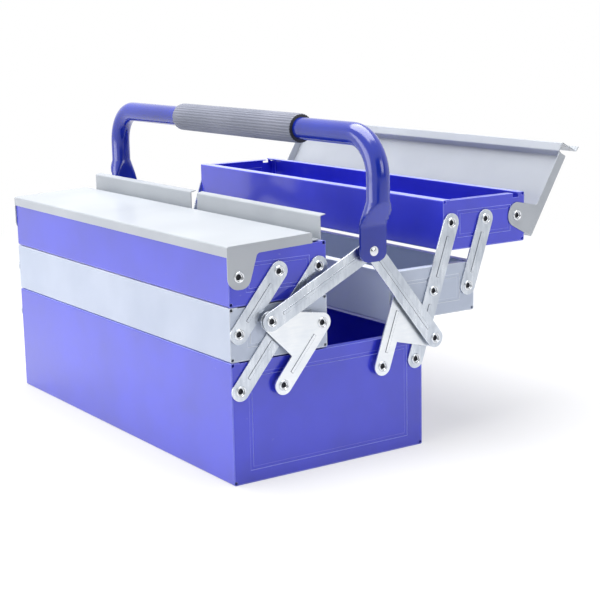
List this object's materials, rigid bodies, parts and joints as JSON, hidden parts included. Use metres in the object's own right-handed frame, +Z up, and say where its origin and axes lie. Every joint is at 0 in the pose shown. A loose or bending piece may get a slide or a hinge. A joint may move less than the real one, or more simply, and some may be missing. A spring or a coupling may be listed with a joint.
{
  "type": "cantilever tool box",
  "caption": "Steel tool box whose trays open to both sides on parallel links, with lids and a folding carrying handle, shown with one side open.",
  "frame": {"origin": "middle of the bottom box's floor, on its underside", "axes": "+X along the box, from the far end to the near end; +Y towards the side whose trays stand open; +Z up"},
  "size_m": [0.4938, 0.3946, 0.2986],
  "materials": {
    "body": "gloss blue enamel on the bottom box and the top trays",
    "middle_trays": "satin light grey enamel",
    "lids": "satin light grey enamel",
    "handle": "gloss blue enamel on steel tube",
    "links": "bright zinc plate with a rolled grain",
    "rivets": "bright nickel plate",
    "grip": "ribbed grey vinyl"
  },
  "bodies": {
    "base": {"base_wrap": "body", "base_end_near": "body", "base_end_far": "body", "base_rivets": "rivets"},
    "left_cranks": {"left_cranks": "links"},
    "left_long_links": {"left_long_links": "links"},
    "left_middle_tray": {"left_middle_wrap": "middle_trays", "left_middle_end_near": "middle_trays", "left_middle_end_far": "middle_trays", "left_middle_rivets": "rivets"},
    "left_short_links": {"left_short_links": "links"},
    "left_top_tray": {"left_top_wrap": "body", "left_top_end_near": "body", "left_top_end_far": "body", "left_top_rivets": "rivets", "left_lid_rivets": "rivets"},
    "left_lid": {"left_lid": "lids"},
    "left_arm_rivets": {"left_arm_rivets": "rivets"},
    "left_handle_links": {"left_handle_links": "links"},
    "right_cranks": {"right_cranks": "links"},
    "right_long_links": {"right_long_links": "links"},
    "right_middle_tray": {"right_middle_wrap": "middle_trays", "right_middle_end_near": "middle_trays", "right_middle_end_far": "middle_trays", "right_middle_rivets": "rivets"},
    "right_short_links": {"right_short_links": "links"},
    "right_top_tray": {"right_top_wrap": "body", "right_top_end_near": "body", "right_top_end_far": "body", "right_top_rivets": "rivets", "right_lid_rivets": "rivets"},
    "right_lid": {"right_lid": "lids"},
    "right_arm_rivets": {"right_arm_rivets": "rivets"},
    "right_handle_links": {"right_handle_links": "links"},
    "apex_rivets": {"apex_rivets": "rivets"},
    "handle": {"handle_tube": "handle", "handle_grip": "grip"}
  },
  "joints": [
    {"name": "left_fold", "type": "hinge", "parent": "base", "child": "left_cranks", "pos_m": [0, -0.052, 0.081], "axis": [1, 0, 0], "range_deg": [0, 79.6]},
    {"name": "left_long_link_pivot", "type": "hinge", "parent": "base", "child": "left_long_links", "pos_m": [0, -0.092, 0.081], "axis": [1, 0, 0], "range_deg": [-0.5, 80.1]},
    {"name": "left_middle_tray_pivot", "type": "hinge", "parent": "left_cranks", "child": "left_middle_tray", "pos_m": [0, -0.01167, 0.1294], "axis": [1, 0, 0], "range_deg": [-80.1, 0.5]},
    {"name": "left_short_link_pivot", "type": "hinge", "parent": "left_middle_tray", "child": "left_short_links", "pos_m": [0, -0.092, 0.1294], "axis": [1, 0, 0], "range_deg": [-0.5, 80.1]},
    {"name": "left_top_tray_pivot", "type": "hinge", "parent": "left_short_links", "child": "left_top_tray", "pos_m": [0, -0.05167, 0.1778], "axis": [1, 0, 0], "range_deg": [-80.1, 0.5]},
    {"name": "right_fold", "type": "hinge", "parent": "base", "child": "right_cranks", "pos_m": [0, 0.052, 0.081], "axis": [-1, 0, 0], "range_deg": [-59.1, 20.5]},
    {"name": "right_long_link_pivot", "type": "hinge", "parent": "base", "child": "right_long_links", "pos_m": [0, 0.092, 0.081], "axis": [-1, 0, 0], "range_deg": [-59.6, 21]},
    {"name": "right_middle_tray_pivot", "type": "hinge", "parent": "right_cranks", "child": "right_middle_tray", "pos_m": [0, 0.07282, 0.14046], "axis": [-1, 0, 0], "range_deg": [-21, 59.6]},
    {"name": "right_short_link_pivot", "type": "hinge", "parent": "right_middle_tray", "child": "right_short_links", "pos_m": [0, 0.15315, 0.14046], "axis": [-1, 0, 0], "range_deg": [-59.6, 21]},
    {"name": "right_top_tray_pivot", "type": "hinge", "parent": "right_short_links", "child": "right_top_tray", "pos_m": [0, 0.17397, 0.19992], "axis": [-1, 0, 0], "range_deg": [-21, 59.6]},
    {"name": "left_lid_hinge", "type": "hinge", "parent": "left_top_tray", "child": "left_lid", "pos_m": [0, -0.0904, 0.1771], "axis": [1, 0, 0], "range_deg": [0, 118.5]},
    {"name": "right_lid_hinge", "type": "hinge", "parent": "right_top_tray", "child": "right_lid", "pos_m": [0, 0.2127, 0.19922], "axis": [-1, 0, 0], "range_deg": [-118.5, 0]},
    {"name": "left_arm_pivot", "type": "hinge", "parent": "left_cranks", "child": "left_arm_rivets", "pos_m": [0, -0.06426, 0.13769], "axis": [1, 0, 0], "range_deg": [-90.8, 0.5]},
    {"name": "left_handle_link_pivot", "type": "hinge", "parent": "left_arm_rivets", "child": "left_handle_links", "pos_m": [0, -0.06426, 0.13769], "axis": [1, 0, 0], "range_deg": [-10.82, 30.24]},
    {"name": "apex_pivot", "type": "hinge", "parent": "left_handle_links", "child": "apex_rivets", "pos_m": [0, 0.03647, 0.18665], "axis": [1, 0, 0], "range_deg": [-30.24, 10.82]},
    {"name": "handle_swing", "type": "hinge", "parent": "apex_rivets", "child": "handle", "pos_m": [0, 0.03647, 0.18665], "axis": [1, 0, 0], "range_deg": [-55, 55]},
    {"name": "right_arm_pivot", "type": "hinge", "parent": "right_cranks", "child": "right_arm_rivets", "pos_m": [0, 0.10694, 0.0996], "axis": [-1, 0, 0], "range_deg": [-21.41, 60.78]},
    {"name": "right_handle_link_pivot", "type": "hinge", "parent": "right_arm_rivets", "child": "right_handle_links", "pos_m": [0, 0.10694, 0.0996], "axis": [-1, 0, 0], "range_deg": [-0.5, 46.84]}
  ],
  "couplings": [
    {"joint": "left_long_link_pivot", "follows": "left_fold", "ratio": 1},
    {"joint": "left_middle_tray_pivot", "follows": "left_fold", "ratio": -1},
    {"joint": "left_short_link_pivot", "follows": "left_fold", "ratio": 1},
    {"joint": "left_top_tray_pivot", "follows": "left_fold", "ratio": -1},
    {"joint": "right_long_link_pivot", "follows": "right_fold", "ratio": 1},
    {"joint": "right_middle_tray_pivot", "follows": "right_fold", "ratio": -1},
    {"joint": "right_short_link_pivot", "follows": "right_fold", "ratio": 1},
    {"joint": "right_top_tray_pivot", "follows": "right_fold", "ratio": -1},
    {"joint": "left_arm_pivot", "follows": "left_fold", "ratio": -1.1344},
    {"joint": "left_handle_link_pivot", "follows": "right_fold", "ratio": -0.5032},
    {"joint": "apex_pivot", "follows": "right_fold", "ratio": 0.5032},
    {"joint": "right_arm_pivot", "follows": "right_fold", "ratio": -1.02},
    {"joint": "right_handle_link_pivot", "follows": "left_fold", "ratio": 0.5822}
  ]
}
